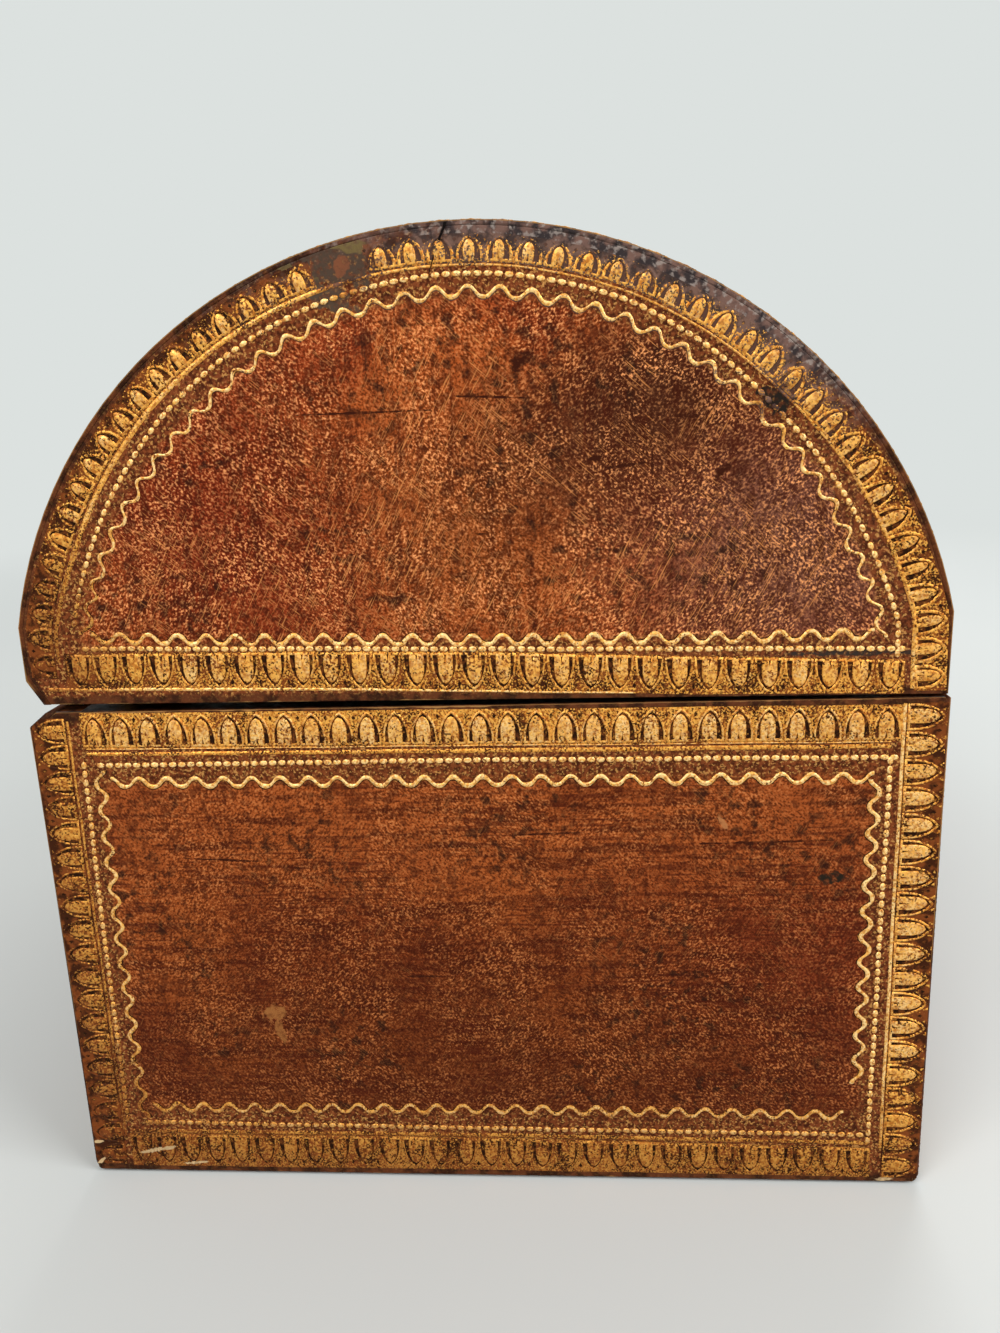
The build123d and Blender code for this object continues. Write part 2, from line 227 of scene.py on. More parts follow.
def leather(name, streak, streaky, warm, deep, rubbed, wear, scratches, stains_and_painted_light=(), marks=(), soot_and_sheen=()):
    """Old polished calf: unevenly dyed, rubbed to orange on top of its grain and dark in the folds.

    Stains, with patches of painted light and shade among them, lie in the dye, under the grain, and marks on
    top of it. Soot blackens the margins near it, under a painted grey sheen with pale flecks of painted
    highlight."""
    calf = Finish(name)
    calf.shader.inputs["Specular IOR Level"].default_value = 0.045
    # the dye, with stains and patches of painted light and shade in it, and streaks along the skin
    body = calf.mix(calf.ease(calf.clouds(20.0, 4.0), 0.38, 0.62), deep, warm)
    for centre, size, turn, tint in stains_and_painted_light:
        body = calf.mix(calf.spot(centre, size, turn, 0.2, 1.6), body, tint)
    drawn = tuple(15.0 if axis == streak else 1.2 for axis in "xyz")
    body = calf.mix(calf.ease(calf.clouds(drawn, 4.0), 0.48, 0.66, 0.0, streaky), body, paint(66, 18, 6))
    threads = tuple(9.0 if axis == streak else 0.42 for axis in "xyz")
    fine = calf.ease(calf.clouds(threads, 3.0), 0.5, 0.62)
    threaded = calf.times(fine, calf.ease(calf.clouds(16.0), 0.4, 0.6))
    # the grain, which leans one way or the other, with its tops rubbed and its folds dark
    rising, falling = (calf.clouds((0.34, 0.34, 0.52), 6.0, (turn, turn, 0)) for turn in (0.65, -0.65))
    side = calf.ease(calf.clouds(24.0, 2.0), 0.44, 0.56)
    grain = calf.node("Mix", {0: side, 2: rising, 3: falling}).outputs[0]
    handled = calf.ease(calf.clouds(9.0, 5.0), 0.34, 0.64, 0.25 * wear, 0.95 * wear)
    tops = calf.times(calf.ease(grain, 0.5, 0.66), handled)
    body = calf.mix(tops, body, rubbed)
    body = calf.mix(calf.ease(grain, 0.52, 0.38, 0.0, 0.72), body, paint(50, 14, 2))
    pits = calf.ease(calf.clouds((1.15, 1.15, 1.3), 6.0), 0.51, 0.61, 0.0, 0.58)
    body = calf.mix(pits, body, paint(60, 20, 7))
    body = calf.mix(calf.times(threaded, streaky), body, paint(70, 22, 8))
    blots = calf.times(calf.ease(calf.clouds(2.2, 5.0), 0.52, 0.64), calf.ease(calf.clouds(21.0), 0.46, 0.6))
    body = calf.mix(calf.times(blots, 0.75), body, paint(34, 17, 10))
    # fine scratches, in patches
    for lean, patch in ((0.85, 11.0), (-0.5, 17.0)):
        hairs = calf.ease(calf.clouds((0.2, 0.2, 4.0), 3.0, (0.0, lean, 0.0)), 0.57, 0.7)
        scratched = calf.times(hairs, calf.ease(calf.clouds(patch), 0.46, 0.6))
        body = calf.mix(calf.times(scratched, scratches), body, paint(222, 142, 78))
    # the border: gold dust round the tooling, a dark margin, soot under a painted grey sheen, and edges
    # rubbed bare with a painted highlight along them
    from_edge = calf.attribute("from_edge")
    stray = calf.math("ADD", from_edge, calf.times(calf.clouds(1.6, 3.0), 2.0))
    tooled = calf.ease(stray, WAVE_LINE, WAVE_LINE + 1.4, 0.85, 0.0)
    pressed = calf.mix(calf.ease(calf.clouds(0.7, 4.0), 0.4, 0.6), paint(62, 27, 12), paint(118, 60, 30))
    dusty = calf.mix(calf.ease(calf.clouds(0.4, 4.0), 0.54, 0.64, 0.0, 0.62), pressed, paint(216, 158, 86))
    body = calf.mix(tooled, body, dusty)
    margin = calf.ease(stray, 2.2, 3.4, 0.9, 0.0)
    thumbed = calf.mix(calf.ease(calf.clouds(2.4), 0.4, 0.6), paint(42, 22, 12), paint(90, 48, 26))
    body = calf.mix(margin, body, thumbed)
    # in the soot the margin turns grey with pale flecks: soot under a painted sheen and painted highlight
    for centre, size, turn in soot_and_sheen:
        soot_and_sheen_mask = calf.times(calf.ease(stray, 3.6, 4.8, 1.0, 0.0), calf.spot(centre, size, turn, 0.2, 0.7))
        smoke_and_sheen_grey = calf.mix(calf.ease(calf.clouds(1.9, 6.0), 0.4, 0.6), paint(52, 44, 44), paint(112, 84, 74))
        sheen_flecks = calf.ease(calf.clouds(0.8, 6.0), 0.5, 0.66, 0.0, 0.8)
        sheen_flecked = calf.mix(sheen_flecks, smoke_and_sheen_grey, paint(146, 132, 124))
        body = calf.mix(soot_and_sheen_mask, body, sheen_flecked)
    # a pale line along the outermost rounded edge: leather rubbed bare, with a painted highlight on the edge
    frayed_edge_and_highlight = calf.math("ADD", from_edge, calf.times(calf.clouds(4.0, 4.0), 1.6))
    bared = calf.times(calf.ease(frayed_edge_and_highlight, 0.95, 0.7, 0.0, 0.8), calf.ease(from_edge, -1.3, -0.6))
    body = calf.mix(bared, body, paint(160, 116, 66))
    patchy = calf.ease(calf.clouds(0.9, 4.0), 0.34, 0.56, 0.5, 1.0)
    for centre, size, turn, tint in marks:
        body = calf.mix(calf.times(calf.spot(centre, size, turn, 0.5), patchy), body, tint)
    calf.colour(body)
    calf.feed(calf.shader.inputs["Roughness"], calf.ease(calf.clouds(2.0, 4.0), 0.3, 0.7, 0.34, 0.5))
    calf.bump(grain, 0.08)
    return calf


def knock(point):
    """Rounds the base's four foot corners, which have been knocked in use, and fades along its length."""
    radius = KNOCKED * max(0.0, 1 - (END - abs(point.y)) / KNOCK_REACH)
    past = Vector((max(0.0, abs(point.x) - BASE_HALF + radius), max(0.0, radius - point.z)))
    if past.length > radius > 0:
        past *= radius / past.length
        point.x = copysign(BASE_HALF - radius + past.x, point.x)
        point.z = radius - past.y


def write_piece(work, name, body, finish, *nodes):
    """Writes a mesh in millimetres as a piece in metres that rides on a body and stands for CAD nodes."""
    if body == "base":
        for vert in work.verts:
            knock(vert.co)
    bmesh.ops.scale(work, vec=(MM,) * 3, verts=work.verts)
    mesh = bpy.data.meshes.new(name)
    work.to_mesh(mesh)
    work.free()
    for part in finish if isinstance(finish, list) else [finish]:
        mesh.materials.append(part.material)
    piece = bpy.data.objects.new(name, mesh)
    bpy.context.scene.collection.objects.link(piece)
    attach(piece, body)
    if nodes:
        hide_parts(*nodes)


def skin(name, node, body, finish, facing, from_edge, grid, butts=False):
    """The leather of one CAD piece, with its outer edges rubbed round and its border pressed in.

    facing gives the outward direction at a point and its depth below the show side. A piece that butts
    past the end panels has its raw edges pressed with their borders."""
    work = bmesh.new()
    work.from_mesh(frame["nodes"][node].data)
    bmesh.ops.scale(work, vec=(1 / MM,) * 3, verts=work.verts)
    bmesh.ops.remove_doubles(work, verts=work.verts, dist=WELD)
    bmesh.ops.dissolve_limit(work, angle_limit=FLAT_WITHIN, verts=work.verts, edges=work.edges)

    def shown():
        work.normal_update()
        faces = []
        for face in work.faces:
            outward, depth = facing(face.calc_center_median())
            if depth < FLUSH and face.normal.dot(outward) > SQUARE:
                faces.append(face)
        return faces

    show = set(shown())
    rims = [edge for edge in work.edges if len(show.intersection(edge.link_faces)) == 1]
    bmesh.ops.bevel(
        work, geom=rims, offset=EDGE_ROUND, offset_type="OFFSET", segments=3, profile=0.5,
        affect="EDGES", material=-1,
    )
    parts = [part for face in shown() for part in (face, *face.edges, *face.verts)]
    cut = list(dict.fromkeys(parts))
    for axis in grid:
        low, high = (end[axis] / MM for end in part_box(node))
        steps = round((high - low) / GRID)
        for step in range(1, steps):
            plane = Vector.Fill(3, 0.0)
            plane[axis] = 1.0
            level = plane * (low + (high - low) * step / steps)
            cut = bmesh.ops.bisect_plane(work, geom=cut, plane_co=level, plane_no=plane, dist=0.01)["geom"]
    distance = work.verts.layers.float.new("from_edge")
    for vert in work.verts:
        outward, depth = facing(vert.co)
        vert[distance] = from_edge(vert.co) if depth < TURN else TURNED
        inside = min(max((vert[distance] - FIELD_EDGE) / FIELD_RISE, 0.0), 1.0)
        swell = SWELL + SWELL_VARIES * noise.noise(vert.co / SWELL_SIZE)
        vert.co -= outward * max(0.0, SUNK * (1 - inside) + swell * inside - depth)
        if butts:
            vert.co.y = max(SUNK - END, min(END - SUNK, vert.co.y))
    for face in work.faces:
        face.smooth = True
    # the operators number points and faces differently from run to run, so both are put in order
    work.verts.sort(key=lambda vert: vert.co.dot(ORDER))
    work.faces.sort(key=lambda face: face.calc_center_median().dot(ORDER))
    write_piece(work, name, body, finish, node)


def plane_facing(outward, level):
    """The show side of a flat panel, at this level along its outward direction."""
    return lambda point: (outward, level - point.dot(outward))


LEFT, RIGHT = Vector((0, -1, 0)), Vector((0, 1, 0))
FRONT, BACK = Vector((1, 0, 0)), Vector((-1, 0, 0))
UP, DOWN = Vector((0, 0, 1)), Vector((0, 0, -1))
BEVEL_DEPTH, BEVEL_SLOPE = 3.3, radians(38.0)  # the bevel along the back's upper edge
BACK_TOP = BASE_HEIGHT - BEVEL_DEPTH * tan(BEVEL_SLOPE)  # where the back's leather turns over it


def base_end_edge(back, front, foot, top):
    """Measures in from the nearest edge of an end, whose waves lie this far in from its four edges."""

    def from_edge(point):
        shares = (BASE_HALF + point.x) / back, (BASE_HALF - point.x) / front, point.z / foot
        return WAVE_LINE * min(*shares, (BASE_HEIGHT - point.z) / top)

    return from_edge


def base_front_edge(point):
    return min(END - abs(point.y) + BASE_HALF - abs(point.x), point.z, BASE_HEIGHT - point.z)


def base_back_edge(point):
    return min(END - abs(point.y) + BASE_HALF - abs(point.x), point.z, BACK_TOP - point.z)


def mark(x, z, half_length, half_width, lean, tint):
    """A mark on the left end, long and lean as a scratch or round as a scuff."""
    return (x, -END, z), (half_length, 4.0, half_width), lean, tint


BASE_WARM, BASE_DEEP, BASE_RUBBED = paint(156, 76, 31), paint(118, 50, 20), paint(206, 128, 72)
# chips: pale torn leather at the foot, brightened as painted glints on the torn edges
INK, CHIP_AND_GLINT = paint(54, 20, 8), paint(198, 166, 122)
chips_and_glints = (
    mark(-62.2, 4.8, 3.8, 0.35, 0.19, CHIP_AND_GLINT),
    mark(-55.5, 2.0, 2.1, 0.25, 0.08, CHIP_AND_GLINT),
    mark(-73.8, 6.2, 1.0, 0.32, 0.1, CHIP_AND_GLINT),
    mark(-73.4, 2.2, 1.2, 0.35, 0.7, CHIP_AND_GLINT),
    mark(69.0, 0.8, 1.6, 0.4, 0.1, CHIP_AND_GLINT),
)
base_marks = (
    mark(-37.6, 33.2, 1.9, 1.5, 0.3, paint(146, 92, 48)),
    mark(-37.2, 30.0, 0.8, 2.6, 0.2, paint(138, 86, 44)),
    mark(58.1, 58.6, 2.4, 1.0, 0.0, paint(36, 28, 20)),
    mark(39.7, 68.6, 0.5, 1.3, 0.6, paint(166, 106, 62)),
    mark(-11.0, 40.5, 3.2, 0.22, 0.0, INK),
    mark(12.0, 66.8, 7.0, 0.18, 0.03, INK),
    mark(-44.0, 62.5, 6.0, 0.2, -0.05, INK),
    mark(46.0, 65.0, 9.0, 0.2, 0.02, INK),
    *chips_and_glints,
)
# painted shade darkens the end towards its foot (shaded) and painted light brightens it near its top (lit);
# reddened is a stain
shaded = ((0.0, -END, 4.0), (92.0, 60.0, 44.0), 0.0, paint(95, 42, 16))
reddened = ((52.0, -END, 34.0), (26.0, 60.0, 30.0), 0.3, paint(116, 44, 20))
lit = ((0.0, -END, 74.0), (84.0, 60.0, 15.0), 0.0, paint(152, 74, 31))
base_stains_and_painted_light = (reddened, shaded, lit)
base_end_calf = leather(
    "base_end_calf", "x", 0.7, BASE_WARM, BASE_DEEP, BASE_RUBBED, 0.75, 0.14, base_stains_and_painted_light, base_marks
)
side_scuffs = (
    ((BASE_HALF, -38.0, 52.0), (3.0, 2.2, 1.0), 0.0, paint(156, 92, 46)),
    ((BASE_HALF, 61.0, 31.0), (3.0, 7.0, 0.25), 0.0, INK),
    ((BASE_HALF, 12.0, 68.0), (3.0, 0.9, 1.4), 0.0, INK),
    ((-BASE_HALF, 44.0, 40.0), (3.0, 3.0, 0.8), 0.0, paint(150, 88, 44)),
    ((-BASE_HALF, -52.0, 27.0), (3.0, 9.0, 0.22), 0.0, INK),
)
base_side_calf = leather(
    "base_side_calf", "y", 0.7, BASE_WARM, BASE_DEEP, BASE_RUBBED, 0.75, 0.14, marks=side_scuffs
)
END_GRID, SIDE_GRID = (0, 2), (1, 2)
skin("base_left_end_skin", "base_left_end_leather", "base", base_end_calf,
     plane_facing(LEFT, END), base_end_edge(10.9, 11.4, 13.7, 12.9), END_GRID)
skin("base_right_end_skin", "base_right_end_leather", "base", base_end_calf,
     plane_facing(RIGHT, END), base_end_edge(PLAIN_WAVE, PLAIN_WAVE, PLAIN_WAVE, PLAIN_WAVE), END_GRID)
skin("base_front_skin", "base_front_leather", "base", base_side_calf,
     plane_facing(FRONT, BASE_HALF), base_front_edge, SIDE_GRID, butts=True)
skin("base_back_skin", "base_back_leather", "base", base_side_calf,
     plane_facing(BACK, BASE_HALF), base_back_edge, SIDE_GRID, butts=True)


# Gold tooling on the base: leaf laid on glair and pressed in with heated brass rolls. From the edge
# inwards come egg-and-dart, a fillet, a row of beads and a wave. The upright runs were rolled first and
# the level ones butt between them. The leaf has rubbed through to brown in places.
EGG_PITCH = 4.58
EGG_BAND = 5.6  # from the tips of the egg-and-dart to its foot, as cut on the roll
TIP_REACH = 3.4  # how far down from their points the arches rub off
EGG_LEAN = 0.13  # the egg stands off the middle of its arch, whose dark side is the wider: burnt leather, widened on that side as painted shade beside the egg
RIB = 0.46  # the width of the rib round an egg
BEAD_PITCH = 1.55
BEAD = 0.51  # half the width of a bead
BEAD_SHARE = 0.47  # half its length, as a share of the pitch
WAVE_PITCH = 4.8
LINE = 0.36  # half the width of the wave's line
GILT_SHARE = 2 / 3  # of a wave's strip, whose dark edges are burnt leather and painted shadow lines along the wave
ROOT = 0.06  # how far a raised shape goes down into the leather
KEPT = -0.05  # the leaf holds better on beads and waves, which also strengthens their painted highlight
EGG_THIN = 0.045  # and worse on the eggs
WAVE_SWING = 0.8
EGG_RISE, RIB_RISE, POINT_RISE = 0.23, 0.19, 0.12  # how far the parts of the egg-and-dart stand up
FILLET_RISE, WAVE_RISE = 0.15, 0.19
BEAD_SIDE, BEAD_CAP = 0.14, 0.07  # the steep and the rounded part of a bead's rise
HOLLOW_RISE, GROUND_RISE, BURNT_AND_SHADOW_RISE = 0.035, 0.015, 0.012  # flat parts, just clear of the leather
PRESSED_AND_SHADE = 1  # the second material of a border: leather that the roll left dark, with painted shade in the wave's edges and the split


def gilding(name, chips_and_glints=(), soot_and_sheen=()):
    """Worn gold leaf: with painted highlights on top of the pattern, duller where it was handled and darker
    along the base's foot with painted shade, brown where it is gone.
    """
    gilt = Finish(name)
    wear, dull_and_shade = gilt.attribute("wear"), gilt.attribute("dull_and_shade")
    patches = gilt.times(gilt.clouds(5.0), 0.3)
    leaf = gilt.math("ADD", gilt.times(gilt.clouds(0.34, 4.0), 0.7), patches)
    kept = gilt.ease(gilt.math("SUBTRACT", leaf, gilt.times(wear, 0.6)), 0.385, 0.475)
    gold = gilt.mix(gilt.ease(gilt.clouds(0.6, 4.0), 0.36, 0.6), paint(186, 112, 40), paint(240, 174, 80))
    # painted highlight: pale specks on raised leaf that is little worn
    glint = gilt.math("ADD", wear, gilt.times(gilt.clouds(2.6, 4.0), 0.16))
    specks = gilt.ease(gilt.clouds(0.42, 4.0), 0.4, 0.6, 0.1, 1.0)
    glint = gilt.times(gilt.ease(glint, 0.14, 0.02, 0.0, 0.95), specks)
    gold = gilt.mix(glint, gold, paint(255, 216, 148))
    # the dulling darkens the gold; along the foot of a base panel it is painted shade
    gold = gilt.mix(gilt.ease(dull_and_shade, 0.03, 0.14, 0.0, 0.72), gold, paint(152, 94, 44))
    bare = gilt.mix(gilt.ease(gilt.clouds(1.7, 3.0), 0.4, 0.6), paint(58, 26, 8), paint(118, 60, 24))
    # in the soot the bare leather is grey: soot under a painted sheen
    for centre, size, turn in soot_and_sheen:
        smoke_and_sheen_grey = gilt.mix(gilt.ease(gilt.clouds(1.9, 6.0), 0.4, 0.6), paint(62, 48, 44), paint(112, 84, 72))
        bare = gilt.mix(gilt.spot(centre, size, turn, 0.2, 0.7), bare, smoke_and_sheen_grey)
    leafed = gilt.mix(kept, bare, gold)
    for centre, size, turn, tint in chips_and_glints:
        leafed = gilt.mix(gilt.spot(centre, size, turn, 0.5), leafed, tint)
    gilt.colour(leafed)
    gilt.feed(gilt.shader.inputs["Metallic"], gilt.times(kept, 0.6))
    gilt.feed(gilt.shader.inputs["Roughness"], gilt.ease(gilt.clouds(0.8), 0.3, 0.7, 0.36, 0.56))
    gilt.shader.inputs["Specular IOR Level"].default_value = 0.06
    gilt.bump(gilt.clouds(0.35, 3.0), 0.05)
    return gilt


def pressed_ground_and_shade(name, chips_and_glints=(), soot_and_sheen=()):
    """Leather burnt dark by the hot roll, with gold dust caught in it, and painted shade in the wave's dark
    edges and the near-black split.
    """
    ground = Finish(name, 0.5)
    burnt = ground.mix(ground.ease(ground.clouds(0.8, 4.0), 0.42, 0.62), paint(36, 17, 6), paint(92, 48, 20))
    dusted = ground.ease(ground.clouds(0.4, 3.0), 0.58, 0.68, 0.0, 0.7)
    # in the soot the burnt leather is greyed: soot under a painted sheen
    for centre, size, turn in soot_and_sheen:
        burnt = ground.mix(ground.spot(centre, size, turn, 0.2, 0.7), burnt, paint(84, 58, 48))
    stained = ground.mix(dusted, burnt, paint(170, 116, 48))
    # near black where the wear is highest, which is only on the split: painted shade
    stained = ground.mix(ground.ease(ground.attribute("wear"), 0.8, 0.9), stained, paint(16, 10, 8))
    for centre, size, turn, tint in chips_and_glints:
        stained = ground.mix(ground.spot(centre, size, turn, 0.5), stained, tint)
    ground.colour(stained)
    ground.shader.inputs["Specular IOR Level"].default_value = 0.04
    ground.bump(ground.clouds(0.5, 3.0), 0.05)
    return ground


base_gold = [gilding("base_gilding", chips_and_glints), pressed_ground_and_shade("base_pressed_ground_and_shade", chips_and_glints)]


def line(length, *depths):
    """Distance from the edge along a run, ruled by hand through a few depths at even steps."""

    def depth(s):
        share = min(max(s / length, 0.0), 1.0) * (len(depths) - 1)
        step = min(int(share), len(depths) - 2)
        return depths[step] + (depths[step + 1] - depths[step]) * (share - step)

    return depth if len(depths) > 1 else lambda s: depths[0]


def both_halves(half):
    """A closed outline from one half, drawn from its tip to its foot."""
    return half + [(-s, t) for s, t in reversed(half) if s > 0]


def draw_in(row, face, steps):
    """Insets a face in steps of width and rise, which leave slopes round it."""
    face.normal_update()
    for width, rise in steps:
        bmesh.ops.inset_region(
            row, faces=[face], thickness=width, depth=rise, use_even_offset=True, use_boundary=True
        )


def raise_pad(row, outline, height, slope):
    """A shape with a rounded top."""
    face = row.faces.new([row.verts.new((s, t, -ROOT)) for s, t in outline])
    draw_in(row, face, ((slope, height * 0.8 + ROOT), (slope, height * 0.2)))


def raise_rib(row, outline, height, width):
    """A rib inside an outline, with nothing left in its middle."""
    face = row.faces.new([row.verts.new((s, t, -ROOT)) for s, t in outline])
    slope = width * 0.25
    draw_in(row, face, ((slope, height + ROOT), (width * 0.5, 0.0), (slope, -height - ROOT)))
    bmesh.ops.delete(row, geom=[face], context="FACES_ONLY")


def repeat(row, start, end, pitch):
    """Copies what is in a row, drawn round s = 0, evenly from start to end."""
    count = max(1, round((end - start) / pitch))
    step = (end - start) / count
    bmesh.ops.translate(row, verts=row.verts, vec=(start + step / 2, 0, 0))
    if count > 1:
        everything = row.verts[:] + row.edges[:] + row.faces[:]
        bmesh.ops.spin(
            row, geom=everything, cent=(0, 0, 0), axis=(0, 0, 1), angle=0, dvec=(step, 0, 0), steps=count - 1,
            use_duplicate=True,
        )


def stamp(row, outline, height):
    """A flat shape left dark by the roll."""
    face = row.faces.new([row.verts.new((s, t, height)) for s, t in outline])
    face.material_index = PRESSED_AND_SHADE


def egg_row(start, end, outer, foot, tips, full, rib_width):
    """Egg-and-dart: a gilt egg with a split foot in a dark arch, a gilt rib round it, lozenges between.

    tips is how much of the leaf is gone from the points of the arches, and full is the eggs' share of their
    whole width."""
    row = bmesh.new()
    rubbed = row.verts.layers.float.new("wear")
    hollow = [(0, 0.5), (0.7, 1.0), (1.32, 1.85), (1.68, 2.85), (1.82, 4.0), (1.86, 5.55)]
    stamp(row, both_halves(hollow), HOLLOW_RISE)
    egg = [(0, 1.0), (0.6, 1.32), (1.04, 2.0), (1.24, 2.9), (1.26, 4.0), (1.2, 5.5), (0.16, 5.5), (0, 4.6)]
    raise_pad(row, [(s * full + EGG_LEAN, t) for s, t in both_halves(egg)], EGG_RISE, 0.11)
    inside = set(row.verts)
    rib = [(0, 0.1), (0.86, 0.75), (1.56, 1.7), (2.02, 2.8), (2.22, 4.0), (2.28, 5.6)]
    raise_rib(row, both_halves(rib), RIB_RISE, rib_width)
    half_pitch = EGG_PITCH / 2
    lozenge = both_halves([(0, 0.7), (0.3, 1.1), (0, 1.6)])
    stamp(row, [(s + half_pitch, t) for s, t in lozenge], HOLLOW_RISE)
    for middle in (-half_pitch / 2, half_pitch / 2):
        raise_pad(row, [(middle - 0.5, 0), (middle + 0.5, 0), (middle, 0.95)], POINT_RISE, 0.1)
    for vert in set(row.verts) - inside:
        vert[rubbed] = max(0.0, 1 - vert.co.y / TIP_REACH)
    repeat(row, start, end, EGG_PITCH)
    for vert in row.verts:
        vert[rubbed] *= tips(vert.co.x)
        s, q = vert.co.x, vert.co.y / EGG_BAND
        vert.co.y = outer(s) + (foot(s) - outer(s)) * q
    return row


def bead_row(start, end, middle, pitch, radius):
    """A row of long beads that almost touch."""
    row = bmesh.new()
    bmesh.ops.create_circle(row, cap_ends=True, segments=8, radius=radius)
    bmesh.ops.translate(row, verts=row.verts, vec=(0, 0, -ROOT))
    row.faces.ensure_lookup_table()
    draw_in(row, row.faces[0], ((radius * 0.14, BEAD_SIDE + ROOT), (radius * 0.3, BEAD_CAP)))
    bmesh.ops.scale(row, vec=(BEAD_SHARE * pitch / radius, 1.0, 1.0), verts=row.verts)
    repeat(row, start, end, pitch)
    for vert in row.verts:
        vert.co.y += middle(vert.co.x)
    return row


def strip(start, end, step, rails):
    """A flat strip of squares, with rails from -1 to 1 across it and s along it."""
    row = bmesh.new()
    bmesh.ops.create_grid(row, x_segments=max(2, round((end - start) / step)), y_segments=rails, size=1.0)
    for vert in row.verts:
        vert.co.x = start + (end - start) * (vert.co.x + 1) / 2
    return row


def crown(across, height):
    """Height of a rounded ridge at a place across it."""
    return height * (1 - across * across) - ROOT * across * across


def fillet_row(start, end, middle, width):
    """A plain line."""
    row = strip(start, end, 1.5, 4)
    for vert in row.verts:
        s, across = vert.co.x, vert.co.y
        vert.co.z = crown(across, FILLET_RISE)
        vert.co.y = middle(s) + across * width(s) / 2
    return row


def wave_row(start, end, middle, swing, crest, pitch, stroke):
    """The wave roll: round crests on one side and closer bends on the other."""
    count = max(1, round((end - start) / pitch))
    turn = 2 * pi * count / (end - start)
    row = strip(start, end, pitch / 14, 6)
    # the strip's dark edges on either side of the gilt line are painted shadow as well as burnt leather
    for face in row.faces:
        if abs(face.calc_center_median().y) > GILT_SHARE:
            face.material_index = PRESSED_AND_SHADE
    for vert in row.verts:
        s, across = vert.co.x, vert.co.y / GILT_SHARE
        phase = turn * (s - start)
        width = stroke * (1 + 0.16 * cos(2 * phase) + 0.4 * noise.noise(Vector((s / 1.1, start, 0.3))))
        side = cos(phase) + 0.06 * cos(2 * phase) - 0.05 * cos(3 * phase)
        slope = -swing * crest * turn * (sin(phase) + 0.12 * sin(2 * phase) - 0.15 * sin(3 * phase))
        lean = 1 / (1 + slope * slope) ** 0.5
        vert.co.x = s - across * width * slope * lean
        vert.co.y = middle(s) + swing * crest * side + across * width * lean
        vert.co.z = crown(across, WAVE_RISE) if abs(across) < 1 else BURNT_AND_SHADOW_RISE
    return row


def ground_row(start, end, outer, foot, tips):
    """The ground of the egg-and-dart, where the leaf is thinnest."""
    row = strip(start, end, 1.0, 6)
    rubbed = row.verts.layers.float.new("wear")
    for vert in row.verts:
        s, across = vert.co.x, (vert.co.y + 1) / 2
        vert.co.y = outer(s) + (foot(s) - outer(s) + 0.15) * across
        vert.co.z = GROUND_RISE
        vert[rubbed] = tips(s) * max(0.0, 1 - across * EGG_BAND / TIP_REACH)
    return row


def lay(border, row, place, wear, thin=0.0):
    """Bends a straight row onto its panel and adds it to the border, with the leaf thinner in low places."""
    rubbed = row.verts.layers.float.get("wear") or row.verts.layers.float.new("wear")
    dulled_and_painted_light = row.verts.layers.float.new("dull_and_shade")
    for vert in row.verts:
        s, t, h = vert.co
        stray = 0.1 * noise.noise(Vector((s / 9, 0.7, t / 30)))
        vert.co = place(s, t + stray, h)
        vert[dulled_and_painted_light] = wear(vert.co)
        # raised parts read as less worn, so their leaf holds and their painted highlight is stronger
        vert[rubbed] += vert[dulled_and_painted_light] + thin + 0.04 - 0.4 * h
    for face in row.faces:
        face.smooth = True
    sheet = bpy.data.meshes.new("row")
    row.to_mesh(sheet)
    row.free()
    border.from_mesh(sheet)
    bpy.data.meshes.remove(sheet)


def gild(border, place, length, wear, eggs, fillets, beads, wave, spans, thin=0.14, tips=(0.0,), crest=-1,
         egg=1.0, rib=RIB, bead_pitch=BEAD_PITCH, bead=BEAD, wave_pitch=WAVE_PITCH, stroke=LINE):
    """Runs the four rolls along one edge. The spans are where eggs, fillets, beads and wave start and end,
    and a broken run of eggs has a list of them. thin and tips are how much more of the leaf is gone from the
    ground of the eggs and from their points."""
    outer, foot, bared = (line(length, *depths) for depths in (*eggs, tips))
    for span in spans[0] if isinstance(spans[0], list) else [spans[0]]:
        lay(border, ground_row(*span, outer, foot, bared), place, wear, thin)
        lay(border, egg_row(*span, outer, foot, bared, egg, rib), place, wear, EGG_THIN)
    for depths, widths, gone in fillets:
        lay(border, fillet_row(*spans[1], line(length, *depths), line(length, *widths)), place, wear, gone)
    lay(border, bead_row(*spans[2], line(length, *beads), bead_pitch, bead), place, wear, KEPT)
    ripple = wave_row(*spans[3], line(length, *wave), WAVE_SWING, crest, wave_pitch, stroke)
    lay(border, ripple, place, wear, KEPT)


def flat(corner, inward, outward):
    """Places on a flat panel: s along an edge from a corner, t in from the edge, h up from the ground."""
    along = inward.cross(outward)
    ground = corner - outward * SUNK
    return lambda s, t, h: ground + along * s + inward * t + outward * h


PLAIN = {"eggs": ([0.6], [6.4]), "fillets": [([6.9], [0.6], 0.0)], "beads": [9.0], "wave": [PLAIN_WAVE]}
PLAIN_STOPS = 7.6, 7.2, 9.0, 11.0  # where eggs, fillet, beads and wave stop short of a corner
SIDE_STOP = 0.6  # and where the eggs stop on an upright side


def even_spans(length):
    """Runs of a plain border, each roll stopping where it meets its own row on the next side."""
    return [(stop, length - stop) for stop in PLAIN_STOPS]


def side_spans(length):
    """The same on an upright side, where the eggs run from edge to edge."""
    return [(SIDE_STOP, length - SIDE_STOP), *even_spans(length)[1:]]


def plain_wear_and_shade(point):
    """On the other sides the leaf thins in patches and is dullest along the foot, where the darkening is
    painted shade.
    """
    return 0.03 + 0.07 * max(0.0, 1 - point.z / 20) + 0.06 * noise.noise(point / 18)


